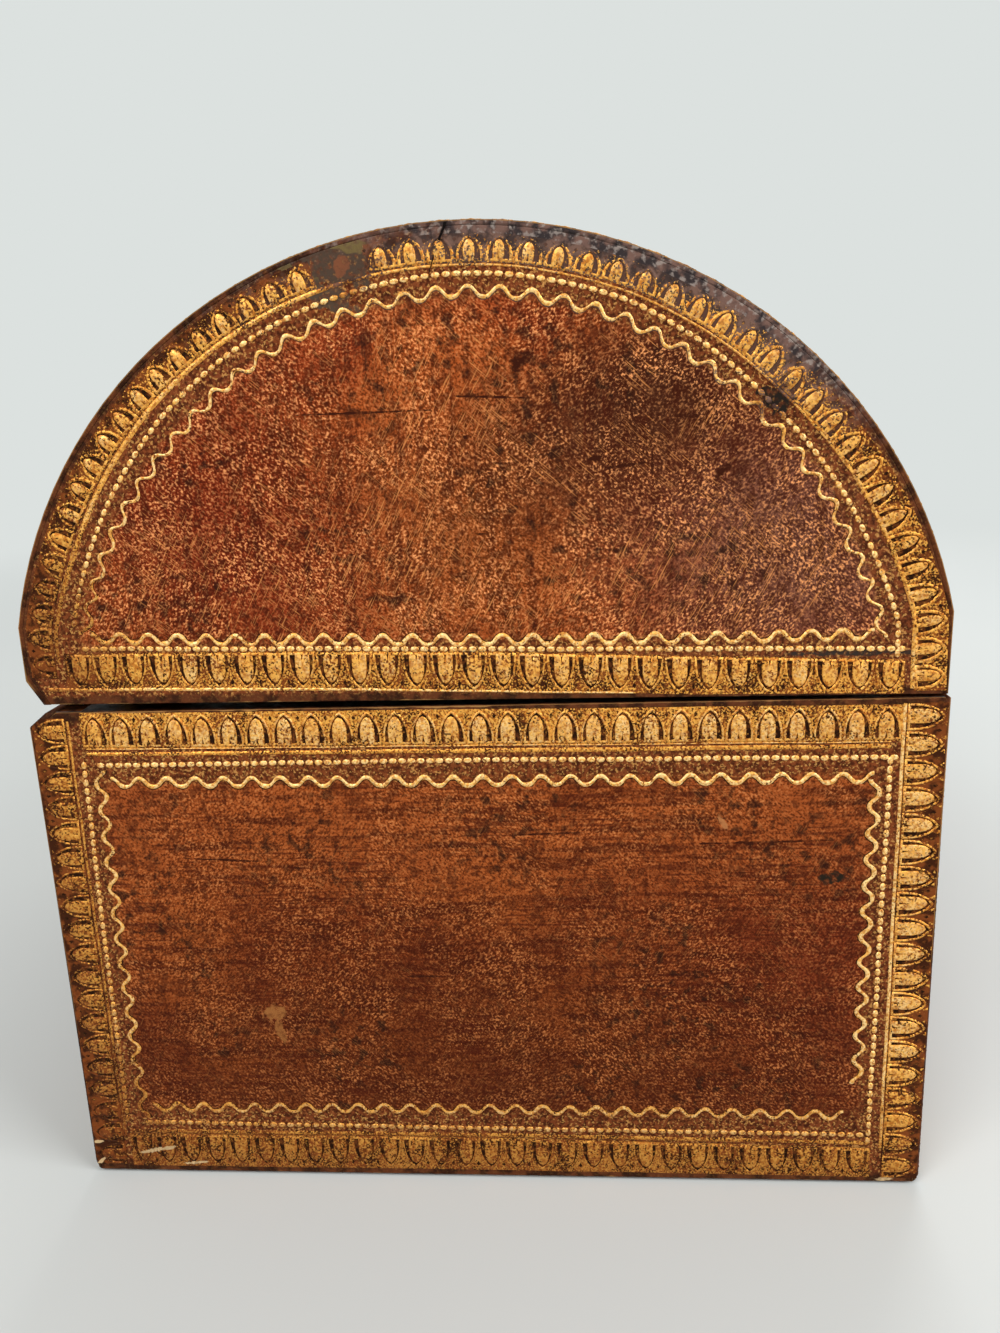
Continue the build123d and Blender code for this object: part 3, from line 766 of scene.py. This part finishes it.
def gild_panel(border, low, high, outward):
    """A plain border round a rectangle, given by its lowest and highest corners."""
    across = UP.cross(outward).normalized()
    wide = abs((high - low).dot(across))
    tall = high.z - low.z
    middle = (low + high) / 2
    foot, top = middle + DOWN * tall / 2, middle + UP * tall / 2
    side = across * wide / 2
    for corner, inward in ((foot - side, UP), (top + side, DOWN)):
        gild(border, flat(corner, inward, outward), wide, plain_wear_and_shade, spans=even_spans(wide), **PLAIN)
    for corner, inward in ((foot + side, -across), (top - side, across)):
        gild(border, flat(corner, inward, outward), tall, plain_wear_and_shade, spans=side_spans(tall), **PLAIN)


BEVEL_MARGIN = 0.2  # the tooling stops this far below the bevel


def trim_at_bevel(border):
    """Cuts the tooling of an end of the base along the bevel at the back."""
    everything = border.verts[:] + border.edges[:] + border.faces[:]
    corner = Vector((-BASE_HALF, 0, BACK_TOP - BEVEL_MARGIN))
    slope = Vector((-sin(BEVEL_SLOPE), 0, cos(BEVEL_SLOPE)))
    bmesh.ops.bisect_plane(
        border, geom=everything, dist=0.001, plane_co=corner, plane_no=slope, clear_outer=True
    )


def base_wear_and_shade(point):
    """The leaf is dullest along the foot, where the darkening is painted shade, and at the back's lower
    corner.
    """
    low = max(0.0, 1 - point.z / 28)
    from_back = BASE_HALF + point.x
    back = max(0.0, 1 - from_back / 16)
    foot = low * (0.13 - 0.04 * from_back / (2 * BASE_HALF))
    return 0.01 + foot + back * (0.16 - 0.08 * point.z / BASE_HEIGHT)


WIDE, TALL = 2 * BASE_HALF, BASE_HEIGHT
border = bmesh.new()
gild(
    border, flat(Vector((BASE_HALF, -END, BASE_HEIGHT)), DOWN, LEFT), WIDE, base_wear_and_shade,
    eggs=([1.1, 0.6, 0.1], [6.9, 6.5, 6.1]),
    fillets=[([7.2, 6.75, 6.4], [0.3], 0.0), ([7.9, 7.65, 7.3], [0.9, 0.9, 0.7], 0.05)],
    beads=[9.8, 9.25, 9.35], wave=[13.2, 12.9, 12.3],
    spans=[(7.4, 141.0), (9.0, 140.5), (7.6, 139.2), (11.4, 137.0)], thin=0.05, crest=-1,
)
gild(
    border, flat(Vector((-BASE_HALF, -END, 0)), UP, LEFT), WIDE, base_wear_and_shade,
    eggs=([1.2, 1.4, 1.1], [7.9, 8.0, 6.8]), fillets=[([8.6, 8.7, 8.0], [1.0], 0.04)],
    beads=[10.6, 10.1, 9.7], wave=[13.5, 14.0, 13.4],
    spans=[(7.5, 141.2), (8.0, 141.0), (10.7, 140.0), (12.7, 136.25)], thin=-0.04, crest=1,
)
gild(
    border, flat(Vector((BASE_HALF, -END, 0)), -FRONT, LEFT), TALL, base_wear_and_shade,
    eggs=([0.55], [6.75]), fillets=[([7.15], [0.7], KEPT)], beads=[9.4, 8.9], wave=[11.9, 10.9],
    spans=[(1.0, 88.2), (6.8, 88.2), (7.8, 79.5), (20.0, 75.6)], thin=0.24, tips=[0.12], crest=1,
)
gild(
    border, flat(Vector((-BASE_HALF, -END, BASE_HEIGHT)), FRONT, LEFT), TALL, base_wear_and_shade,
    eggs=([0.6], [6.3]), fillets=[([6.8], [0.5], 0.0)], beads=[8.9, 7.9, 7.5], wave=[11.2, 10.7, 10.8],
    spans=[(1.0, 87.5), (1.5, 82.0), (8.5, 78.5), (10.2, 77.5)], thin=0.24, tips=[0.12], crest=1,
)
trim_at_bevel(border)
write_piece(border, "base_left_end_tooling", "base", base_gold)

plain_panels = (
    ("base_right_end_tooling", (-BASE_HALF, END, 0), (BASE_HALF, END, BASE_HEIGHT), RIGHT),
    ("base_front_tooling", (BASE_HALF, -END, 0), (BASE_HALF, END, BASE_HEIGHT), FRONT),
    ("base_back_tooling", (-BASE_HALF, -END, 0), (-BASE_HALF, END, BACK_TOP), BACK),
)
for name, low, high, outward in plain_panels:
    border = bmesh.new()
    gild_panel(border, Vector(low), Vector(high), outward)
    if outward is RIGHT:
        trim_at_bevel(border)
    write_piece(border, name, "base", base_gold)


# Leather on the lid: one piece over the dome and down both long sides, and one on each half-round end.
# The lid has sunk a little towards the front, turning about its hinges.
HINGE_AXIS = Vector(frame["joints"][0]["pos_m"]) / MM
SETTLE = radians(0.34)
settle = Matrix.Translation(HINGE_AXIS) @ Matrix.Rotation(SETTLE, 4, "Y") @ Matrix.Translation(-HINGE_AXIS)
unsettle = settle.inverted()
LID_HALF, LID_HEIGHT = 74.5, 72.4  # half its width, a little less than the base's, and its height
RIM_GAP = 1.4
LID_RIM = BASE_HEIGHT + RIM_GAP  # where its rim lay before it sank
LID_SIDE = 13.1  # the straight part of its long sides, below the dome
LID_RISE = LID_HEIGHT - LID_SIDE
DOME = (LID_HALF**2 + LID_RISE**2) / (2 * LID_RISE)  # the dome's radius
DOME_CENTRE = LID_RIM + LID_HEIGHT - DOME
SPRING = asin(LID_HALF / DOME)  # half the angle of the dome
LID_BACK_FOOT = 4.48  # the back's leather turns over the bevel this far above the rim
ARC = 2 * DOME * SPRING
LID_GIRTH = ARC + 2 * LID_SIDE


def dome_at(along):
    """A point of the lid's outline and the direction out of it, by the distance from the front rim."""
    if along < LID_SIDE:
        return Vector((LID_HALF, 0, LID_RIM + along)), FRONT
    if along > LID_GIRTH - LID_SIDE:
        return Vector((-LID_HALF, 0, LID_RIM + LID_GIRTH - along)), BACK
    angle = SPRING - (along - LID_SIDE) / DOME
    out = Vector((sin(angle), 0, cos(angle)))
    return Vector((0, 0, DOME_CENTRE)) + out * DOME, out


def lid_depth(point):
    """How far inside the lid's outline a point of the end lies, the rim left out."""
    side = LID_HALF - abs(point.x)
    if point.z < LID_RIM + LID_SIDE:
        return side
    return DOME - Vector((point.x, 0, point.z - DOME_CENTRE)).length


def lid_end_edge(arch_wave, foot_wave):
    """Measures in from the nearest edge of the lid's end, as on the base."""

    def from_edge(point):
        point = unsettle @ point
        return WAVE_LINE * min(lid_depth(point) / arch_wave, (point.z - LID_RIM) / foot_wave)

    return from_edge


def dome_edge(point):
    point = unsettle @ point
    low = point.z - LID_RIM - (LID_BACK_FOOT if point.x < 0 else 0)
    return min(END - abs(point.y) + lid_depth(point), low)


def dome_facing(point):
    unsunk = unsettle @ point
    if unsunk.z < LID_RIM + LID_SIDE:
        out = FRONT if unsunk.x > 0 else BACK
    else:
        out = Vector((unsunk.x, 0, unsunk.z - DOME_CENTRE)).normalized()
    return settle.to_3x3() @ out, lid_depth(unsunk)


LID_WARM, LID_DEEP, LID_RUBBED = paint(166, 78, 32), paint(140, 56, 23), paint(244, 160, 98)
lid_marks = (
    mark(46.5, 135.0, 2.4, 1.6, -0.5, paint(34, 27, 22)),
    mark(-17.2, 156.6, 5.9, 3.3, -0.23, paint(74, 58, 47)),
    mark(-16.6, 156.4, 1.4, 1.2, -0.23, paint(118, 70, 47)),
    mark(-17.2, 159.8, 5.5, 0.9, -0.23, paint(106, 88, 54)),
    mark(-27.0, 157.4, 5.5, 0.7, -0.38, paint(98, 80, 50)),
    mark(-19.0, 152.3, 4.6, 1.5, -0.3, paint(76, 60, 48)),
    mark(-15.3, 135.5, 9.7, 0.17, 0.0, INK),
    mark(4.2, 137.1, 6.5, 0.17, -0.06, INK),
    mark(25.2, 126.4, 3.4, 0.24, 0.1, INK),
    mark(20.0, 127.5, 1.0, 0.5, 0.0, INK),
    mark(28.6, 126.4, 0.2, 2.2, 0.0, INK),
    mark(33.5, 133.3, 1.7, 0.4, 0.0, INK),
    mark(2.4, 116.6, 1.0, 0.22, 0.0, INK),
    mark(1.0, 131.4, 0.7, 0.4, 0.0, INK),
    mark(9.0, 142.0, 1.8, 1.2, 0.4, INK),
    mark(39.0, 125.0, 1.8, 0.7, 0.6, INK),
    mark(60.0, 96.5, 10.0, 0.45, 0.0, paint(52, 42, 36)),
)
# soot on the margin right of the crown, drawn with a painted grey sheen over it
lid_soot_and_sheen = (((26.0, -END, 150.0), (62.0, 6.0, 28.0), 0.4),)
sooty = ((28.0, -END, 135.0), (24.0, 40.0, 13.0), 0.4, paint(72, 36, 20))
# a greyer, paler patch on the right of the end: dulled leather under a painted sheen
dulled_and_painted_light = ((50.0, -END, 114.0), (24.0, 40.0, 22.0), -0.6, paint(110, 66, 50))
ruddy = ((-42.0, -END, 118.0), (22.0, 40.0, 20.0), -0.7, paint(122, 42, 18))
bright = ((2.0, -END, 118.0), (24.0, 40.0, 16.0), 0.0, paint(150, 74, 31))
lid_stains_and_painted_sheen = (bright, ruddy, dulled_and_painted_light, sooty)
lid_end_calf = leather(
    "lid_end_calf", "z", 0.5, LID_WARM, LID_DEEP, LID_RUBBED, 1.0, 0.6, lid_stains_and_painted_sheen, lid_marks, lid_soot_and_sheen
)
DOME_TOP = cad_high.z / MM
dome_scuffs = (
    ((8.0, -33.0, DOME_TOP), (2.6, 1.6, 6.0), 0.0, paint(34, 27, 22)),
    ((-14.0, 41.0, DOME_TOP), (1.0, 8.0, 6.0), 0.0, INK),
    ((26.0, 58.0, DOME_TOP), (2.0, 2.6, 8.0), 0.0, INK),
    ((52.0, -12.0, 134.0), (6.0, 3.2, 1.4), 0.0, paint(190, 116, 64)),
    ((-50.0, -66.0, 136.0), (6.0, 5.0, 0.5), 0.0, INK),
)
lid_dome_calf = leather(
    "lid_dome_calf", "y", 0.5, LID_WARM, LID_DEEP, LID_RUBBED, 1.0, 0.3, marks=dome_scuffs, soot_and_sheen=lid_soot_and_sheen
)
skin("lid_left_end_skin", "lid_left_end_leather", "lid", lid_end_calf,
     plane_facing(LEFT, END), lid_end_edge(11.1, 10.1), END_GRID)
skin("lid_right_end_skin", "lid_right_end_leather", "lid", lid_end_calf,
     plane_facing(RIGHT, END), lid_end_edge(PLAIN_WAVE, PLAIN_WAVE), END_GRID)
skin("lid_dome_skin", "lid_dome_leather", "lid", lid_dome_calf, dome_facing, dome_edge, (1,), butts=True)


# Gold tooling on the lid: the same rolls, round the arch and along the foot of each end, and round the
# edges of the dome. The level run on the end slants against the rim, and the arch wanders.
EASING = 9.0  # over this length the rolls turn from the straight side into the arc


def arch(outward):
    """Places round the arch of an end, s from its right-hand foot seen from outside."""
    front_first = outward is LEFT

    def place(s, t, h):
        along = s if front_first else LID_GIRTH - s
        edge, out = dome_at(along)
        past = min(abs(along - LID_SIDE), abs(LID_GIRTH - LID_SIDE - along)) / EASING
        if past < 1:
            before, after = dome_at(along - EASING)[1], dome_at(along + EASING)[1]
            out = (before + after + out * 2 * past).normalized()
        return settle @ (edge - out * t + outward * (END - SUNK + h))

    return place


def lid_foot(outward):
    """Places along the foot of an end, s from its left-hand corner seen from outside."""
    corner = Vector((-LID_HALF if outward is LEFT else LID_HALF, outward.y * END, LID_RIM))
    place = flat(corner, UP, outward)
    return lambda s, t, h: settle @ place(s, t, h)


ARCH_MEND = LID_SIDE + DOME * (SPRING + radians(13.0))  # a mend left of the crown, where the leaf is gone
# x, z, reach and wear of the places where it is rubbed off: the mend, a tear and the foot at the back
WORN_PLACES = (-17.0, 156.4, 5.0, 0.4), (46.5, 135.0, 3.4, 0.4), (-76.0, 100.0, 26.0, 0.14)


def lid_wear(point):
    """The leaf is a little thin all over and thinnest in the middle of the worn places."""
    gone = 0.0
    for x, z, reach, depth in WORN_PLACES:
        away = (Vector((point.x, 0, point.z)) - Vector((x, 0, z))).length
        gone = max(gone, depth * (1 - away / reach))
    return 0.03 + gone


LID_WIDE = 2 * LID_HALF
# round the arch, beads and waves are measured along the outline, where they are further apart
ARCH_ROLLS = {"egg": 0.78, "rib": 0.64, "bead_pitch": 1.72, "bead": 0.46, "wave_pitch": 5.5, "stroke": 0.29}
lid_gold = [gilding("lid_gilding", soot_and_sheen=lid_soot_and_sheen), pressed_ground_and_shade("lid_pressed_ground_and_shade", soot_and_sheen=lid_soot_and_sheen)]
border = bmesh.new()
gild(
    border, arch(LEFT), LID_GIRTH, lid_wear,
    eggs=([0.5, 1.6, 2.3, 2.4, 2.1, 1.65, 1.6, 1.7, 1.4], [5.4, 7.0, 7.0, 5.9, 6.0, 5.5, 5.6, 6.0, 5.6]),
    fillets=[(
        [5.6, 6.6, 7.2, 6.6, 6.4, 6.1, 6.2, 6.9, 6.2], [1.1, 0.7, 0.45, 0.4, 0.45, 0.9, 1.0, 1.1, 0.6], 0.0
    )],
    beads=[8.0, 9.4, 9.4, 7.7, 7.6, 7.9, 8.3, 9.2, 9.6],
    wave=[10.6, 11.9, 11.3, 10.3, 10.1, 10.7, 11.9, 11.6, 11.2],
    spans=[[(0.6, ARCH_MEND - 3.2), (ARCH_MEND + 5.6, 227.0)], (1.0, 224.0), (6.5, 217.0), (10.5, 218.0)],
    thin=0.11, tips=[0.0, 0.04, 0.14, 0.22, 0.26, 0.19, 0.12, 0.1, 0.1], crest=-1, **ARCH_ROLLS,
)
gild(
    border, lid_foot(LEFT), LID_WIDE, lid_wear,
    eggs=([2.5, 2.2, 1.4, 0.4, 0.2], [8.5, 8.4, 7.9, 6.5, 5.3]),
    fillets=[([2.6, 2.3, 1.5, 0.5, 0.3], [0.75, 0.65, 0.5, 0.35, 0.25], KEPT)],
    beads=[9.6, 9.0, 8.4, 7.8, 7.3], wave=[11.4, 10.4, 9.8, 9.5, 9.8],
    spans=[(7.3, 142.0), (4.0, 100.0), (10.3, 142.0), (12.3, 137.0)], thin=0.09, crest=1,
)
# a jagged split in the leather runs in from the edge at the crown and closes to a point; it is a near-black
# strip on the surface, its black painted shade in the opening
SPLIT_START, SPLIT_END, SPLIT_POINT = 0.5, 8.4, 9.5
SPLIT_WIDTH, SPLIT_LEAN, SPLIT_JAG, SPLIT_RISE = 0.26, 0.46, 0.25, 0.21
split = strip(SPLIT_START, SPLIT_END, 0.4, 2)
for vert in split.verts:
    t, across = vert.co.x, vert.co.y
    jag = SPLIT_JAG * noise.noise(Vector((t * 1.4, 3.1, 0.0)))
    width = SPLIT_WIDTH * (1 - t / SPLIT_POINT)
    vert.co = (LID_GIRTH / 2 + 1.2 + SPLIT_LEAN * t + jag + across * width, t, SPLIT_RISE)
for face in split.faces:
    face.material_index = PRESSED_AND_SHADE
    face.normal_flip()
lay(border, split, arch(LEFT), lambda point: 1.0)
write_piece(border, "lid_left_end_tooling", "lid", lid_gold)

border = bmesh.new()
arch_stops = (0.6, 5.0), (1.0, 8.0), (8.8, 12.0), (11.0, 14.0)  # short of the front and of the back
arch_spans = [(back, LID_GIRTH - front) for front, back in arch_stops]
gild(border, arch(RIGHT), LID_GIRTH, plain_wear_and_shade, spans=arch_spans, **PLAIN, **ARCH_ROLLS)
gild(border, lid_foot(RIGHT), LID_WIDE, plain_wear_and_shade, spans=even_spans(LID_WIDE), **PLAIN)
write_piece(border, "lid_right_end_tooling", "lid", lid_gold)

DOME_GIRTH = LID_GIRTH - LID_BACK_FOOT  # of the dome's leather, from the front rim to the bevel


def dome_side(front):
    """Places along a long edge of the dome's leather, s along the length and t up over the dome."""

    def place(s, t, h):
        edge, out = dome_at(t if front else DOME_GIRTH - t)
        y = s - END if front else END - s
        return settle @ (edge + out * (h - SUNK) + Vector((0, y, 0)))

    return place


def dome_end(outward):
    """Places along a curved edge of the dome's leather, s over the dome and t in from its end."""

    def place(s, t, h):
        edge, out = dome_at(DOME_GIRTH - s if outward is LEFT else s)
        return settle @ (edge + out * (h - SUNK) + outward * (END - t))

    return place


border = bmesh.new()
for front in (True, False):
    gild(border, dome_side(front), 2 * END, plain_wear_and_shade, spans=even_spans(2 * END), **PLAIN)
for outward in (LEFT, RIGHT):
    gild(border, dome_end(outward), DOME_GIRTH, plain_wear_and_shade, spans=side_spans(DOME_GIRTH), **PLAIN)
write_piece(border, "lid_dome_tooling", "lid", lid_gold)


# Underside: a sheet of green baize, a napped woollen cloth, which keeps the box from scratching a table.
# It is cut smaller than the base and glued over the raw edges of the turned leather.
baize = Finish("baize", 0.95)
nap = baize.clouds(0.35, 4.0)
baize.colour(baize.mix(baize.ease(nap, 0.35, 0.7), paint(38, 56, 40), paint(72, 92, 66)))
baize.bump(nap, 0.2)
coat(baize, "base_underside_sheet")


# Lining: card faced with marbled paper, whose drops of colour were lifted off a bath of size.
# Each piece is cut to its wall and glued in, the floor first.
paper = Finish("marbled_paper", 0.7)
swirl = paper.node("TexNoise", {"Vector": paper.stretched((8.0,) * 3), "Scale": 1.0}).outputs["Color"]
drift = paper.node("VectorMath", {0: swirl, "Scale": 6.0}, operation="SCALE").outputs[0]
paper.place = paper.node("VectorMath", {0: paper.place, 1: drift}, operation="ADD").outputs[0]
tinted = paint(112, 40, 34)
drop_inks = (5.2, 0.3, paint(44, 60, 84)), (3.6, 0.24, paint(184, 150, 96)), (2.4, 0.2, paint(26, 30, 38))
for size, share, tint in drop_inks:
    drops = paper.cells(size)
    tinted = paper.mix(paper.ease(drops, share + 0.1, share + 0.06), tinted, paint(214, 200, 166))
    tinted = paper.mix(paper.ease(drops, share + 0.03, share), tinted, tint)
veined = paper.mix(paper.ease(paper.cells(4.4, "DISTANCE_TO_EDGE"), 0.06, 0.03), tinted, paint(206, 190, 156))
aged = paper.mix(paper.ease(paper.clouds(40.0), 0.45, 0.75, 0.0, 0.5), veined, paint(140, 104, 66))
paper.colour(aged)
paper.bump(paper.clouds(0.3), 0.03)
coat(paper, "base_floor_lining", "base_front_lining", "base_back_lining", "base_left_end_lining")
coat(paper, "base_right_end_lining", "lid_dome_lining", "lid_left_end_lining", "lid_right_end_lining")


# Hinges: two brass butts let into the rims at the back, each of two leaves that turn on a brass pin.
# Countersunk brass screws hold them. The metal has gone dull and brown in places.
brass = Finish("old_brass", 0.36)
tarnish = brass.ease(brass.clouds(3.5, 4.0), 0.4, 0.7)
brass.colour(brass.mix(tarnish, paint(196, 156, 86), paint(136, 102, 56)))
brass.feed(brass.shader.inputs["Roughness"], brass.ease(tarnish, 0.0, 1.0, 0.3, 0.5))
brass.shader.inputs["Metallic"].default_value = 1.0
brass.bump(brass.clouds((0.25, 5.0, 0.25)), 0.006)
coat(brass, "left_hinge_base_leaf", "right_hinge_base_leaf", "left_hinge_pin", "right_hinge_pin")
coat(brass, "left_hinge_lid_leaf", "right_hinge_lid_leaf", "hinge_base_screws", "hinge_lid_screws")


# Stage: a plain pale floor that fades into the background, three soft lamps and a pale sky.
# The camera stands where the photograph was taken, close to the left end and as high as its lid.
FLOOR_REACH = 7.0  # in metres
FLOOR_DROP = 0.3  # the floor lies just below the baize
FADE_START, FADE_END = 350.0, 1100.0
work = bmesh.new()
bmesh.ops.create_circle(work, cap_ends=True, segments=96, radius=FLOOR_REACH)
bmesh.ops.translate(work, verts=work.verts, vec=(0, 0, -FLOOR_DROP * MM))
floor_mesh = bpy.data.meshes.new("floor")
work.to_mesh(floor_mesh)
work.free()
pale = Finish("pale_floor", 0.8)
BACKGROUND = paint(220, 225, 223)
pale.colour(pale.mix(pale.clouds(300.0), paint(196, 199, 198), paint(204, 206, 204)))
away = pale.node("VectorMath", {0: pale.place}, operation="LENGTH").outputs["Value"]
rays = pale.node("LightPath").outputs
mirrored = pale.math("MAXIMUM", rays["Is Glossy Ray"], rays["Is Transmission Ray"])
seen = pale.math("MAXIMUM", rays["Is Camera Ray"], mirrored)
faded = pale.times(pale.ease(away, FADE_START, FADE_END), seen)
glow = pale.node("Emission", {"Color": BACKGROUND}).outputs[0]
blended = pale.node("MixShader", {0: faded, 1: pale.shader.outputs[0], 2: glow}).outputs[0]
pale.feed(pale.tree.nodes["Material Output"].inputs["Surface"], blended)
floor_mesh.materials.append(pale.material)
floor = bpy.data.objects.new("floor", floor_mesh)
bpy.context.scene.collection.objects.link(floor)


MIDDLE = Vector((0, 0, 0.08))  # of the box, in metres, as the lamps' places are


def soft_light(name, place, size, power):
    lamp = bpy.data.lights.new(name, "AREA")
    lamp.size = size
    lamp.energy = power
    light = bpy.data.objects.new(name, lamp)
    light.location = place
    light.rotation_euler = (MIDDLE - Vector(place)).to_track_quat("-Z", "Y").to_euler()
    bpy.context.scene.collection.objects.link(light)


soft_light("key", (-0.5, -0.9, 0.9), 0.7, 10.0)
soft_light("side", (0.8, -0.5, 0.7), 0.6, 7.5)
soft_light("rim", (0.2, 0.9, 0.9), 0.8, 8.0)
SKY_LIGHT, SKY_SEEN = 0.55, 1.0  # how strongly the sky lights the box, and how bright it looks
world = bpy.data.worlds.new("studio")
world.use_nodes = True
sky = world.node_tree.nodes["Background"]
sky.inputs["Color"].default_value = BACKGROUND
rays = world.node_tree.nodes.new("ShaderNodeLightPath").outputs
seen = rays["Is Camera Ray"]
for kind in ("Is Glossy Ray", "Is Transmission Ray"):
    either = world.node_tree.nodes.new("ShaderNodeMath")
    either.operation = "MAXIMUM"
    world.node_tree.links.new(seen, either.inputs[0])
    world.node_tree.links.new(rays[kind], either.inputs[1])
    seen = either.outputs[0]
level = world.node_tree.nodes.new("ShaderNodeMapRange")
level.inputs["To Min"].default_value = SKY_LIGHT
level.inputs["To Max"].default_value = SKY_SEEN
world.node_tree.links.new(seen, level.inputs["Value"])
world.node_tree.links.new(level.outputs[0], sky.inputs["Strength"])
bpy.context.scene.world = world

CAMERA_PLACE = (16.93 * MM, -271.82 * MM, 135.73 * MM)
CAMERA_TURN = (radians(76.057), radians(2.164), radians(3.878))
SENSOR, FOCAL_LENGTH = 36.0, 28.357
lens = bpy.data.cameras.new("camera")
lens.sensor_width = SENSOR
lens.lens = FOCAL_LENGTH
lens.clip_start = 0.01
camera = bpy.data.objects.new("camera", lens)
camera.location = CAMERA_PLACE
camera.rotation_euler = CAMERA_TURN
bpy.context.scene.collection.objects.link(camera)
bpy.context.scene.camera = camera
bpy.context.scene.view_settings.view_transform = "Standard"
